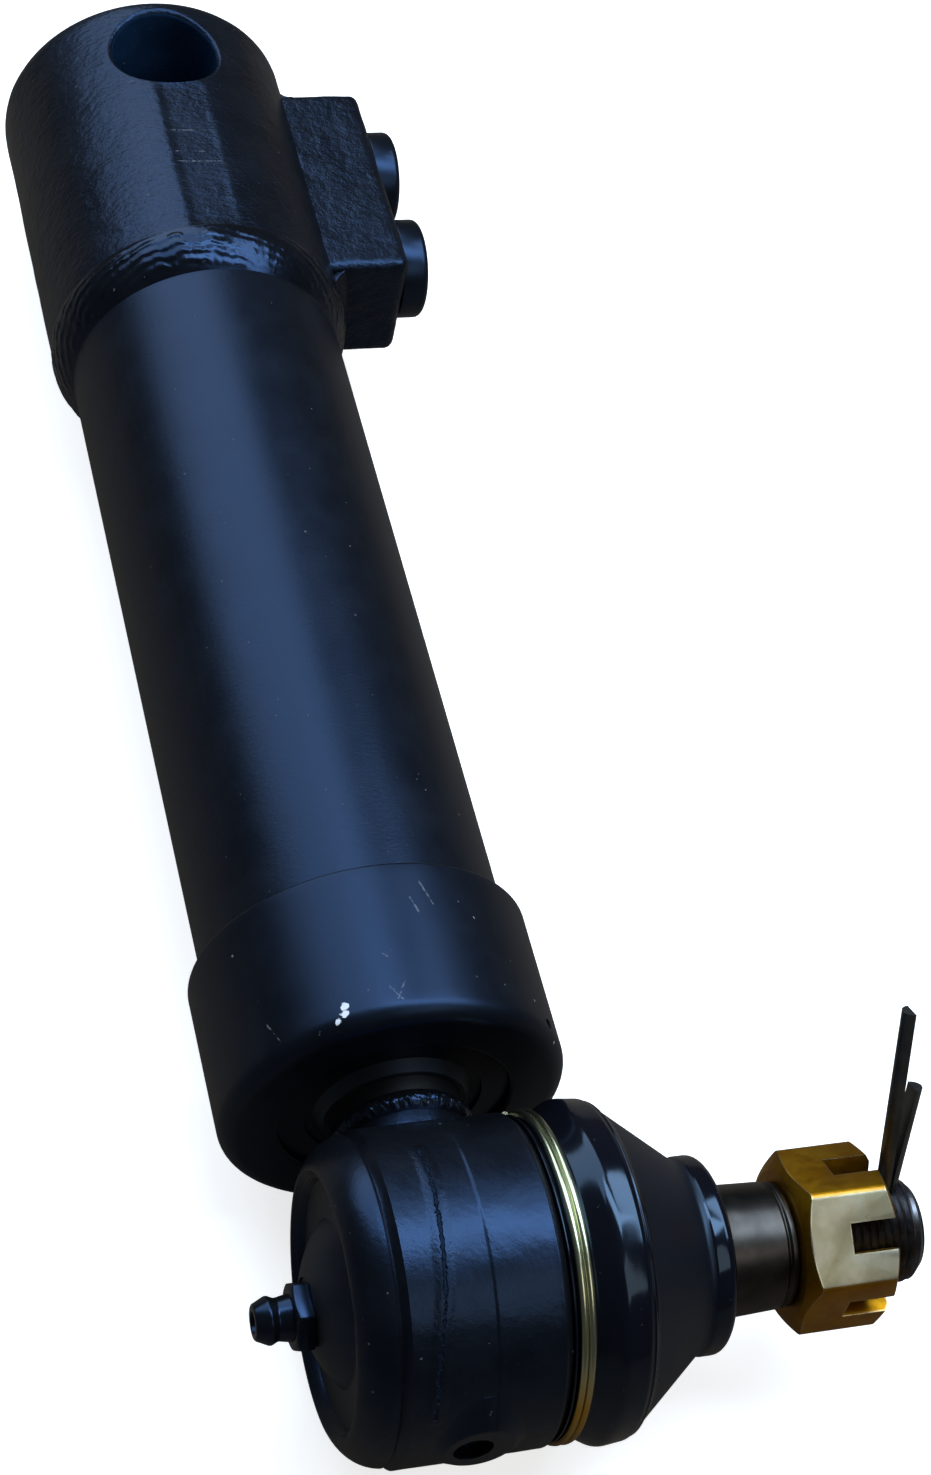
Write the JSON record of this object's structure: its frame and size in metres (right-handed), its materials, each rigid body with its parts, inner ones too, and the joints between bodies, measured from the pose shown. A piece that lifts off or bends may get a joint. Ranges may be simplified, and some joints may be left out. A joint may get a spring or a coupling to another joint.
{
  "type": "hydraulic steering cylinder",
  "caption": "Hydraulic steering cylinder: cross-bored eye end, double-walled barrel with side port block, screwed gland nut and a booted ball joint with tapered stud, castle nut and cotter pin.",
  "frame": {"origin": "centre of the cross bore in the base end, halfway along it", "axes": "+X along the cylinder towards the rod end, +Z along the cross bore, +Y the way the ball stud and the oil ports face; the rod is drawn fully in"},
  "size_m": [0.3533, 0.1263, 0.0744],
  "materials": {
    "black_paint": "satin black paint, slightly uneven over forged and cast skin",
    "honed_steel": "honed bore, drawn outside",
    "guide_iron": "turned grey iron",
    "plain_steel": "turned steel, oiled",
    "dark_steel": "dark phosphated steel with turned bands",
    "hard_chrome": "ground hard chrome",
    "bronze": "plain bearing bronze",
    "seal_urethane": "moulded polyurethane",
    "seal_plastic": "filled bearing plastic",
    "seal_rubber": "moulded nitrile rubber",
    "seat_plastic": "white bearing plastic",
    "boot_rubber": "glossy black moulded rubber",
    "zinc_wire": "yellow zinc plated wire",
    "yellow_zinc": "yellow zinc plate, amber to olive",
    "grey_steel": "drawn grey steel"
  },
  "bodies": {
    "barrel": {"base_end": "black_paint", "base_weld": "black_paint", "barrel_tube": "black_paint", "inner_tube": "honed_steel", "liner_ring": "seal_rubber", "port_block": "black_paint", "block_weld_rear": "black_paint", "block_weld_front": "black_paint", "port_plug_rear": "black_paint", "port_plug_front": "black_paint", "gland_nut": "black_paint", "rod_guide": "guide_iron", "guide_bush": "bronze", "rod_seal": "seal_urethane", "wiper_seal": "seal_urethane", "outer_guide_ring": "seal_rubber", "inner_guide_ring": "seal_rubber"},
    "piston_seals": {"piston_seal": "seal_plastic", "wear_ring": "seal_plastic"},
    "rod": {"piston_rod": "hard_chrome", "piston": "plain_steel", "piston_nut": "plain_steel", "spigot_seal": "seal_rubber", "rod_weld": "black_paint", "ball_housing": "black_paint", "end_plug": "black_paint", "grease_nipple": "black_paint", "seat_spring": "plain_steel", "boot_ring": "zinc_wire"},
    "ball_seats": {"lower_seat": "seat_plastic", "upper_seat": "seat_plastic"},
    "boot": {"dust_boot": "boot_rubber"},
    "stud": {"ball_stud": "dark_steel", "castle_nut": "yellow_zinc", "cotter_pin": "grey_steel"}
  },
  "joints": [
    {"name": "rod_slide", "type": "slide", "parent": "barrel", "child": "piston_seals", "axis": [1, 0, 0], "range_m": [0, 0.15]},
    {"name": "rod_turn", "type": "hinge", "parent": "piston_seals", "child": "rod", "pos_m": [0, 0, 0], "axis": [1, 0, 0], "continuous": true},
    {"name": "seat_swivel", "type": "hinge", "parent": "rod", "child": "ball_seats", "pos_m": [0.3033, 0, 0], "axis": [0, 1, 0], "continuous": true},
    {"name": "stud_tilt", "type": "hinge", "parent": "ball_seats", "child": "boot", "pos_m": [0.3033, 0, 0], "axis": [0, 0, 1], "range_deg": [-18, 18], "deforming": ["dust_boot"]},
    {"name": "stud_spin", "type": "hinge", "parent": "boot", "child": "stud", "pos_m": [0.3033, 0, 0], "axis": [0, 1, 0], "continuous": true}
  ]
}
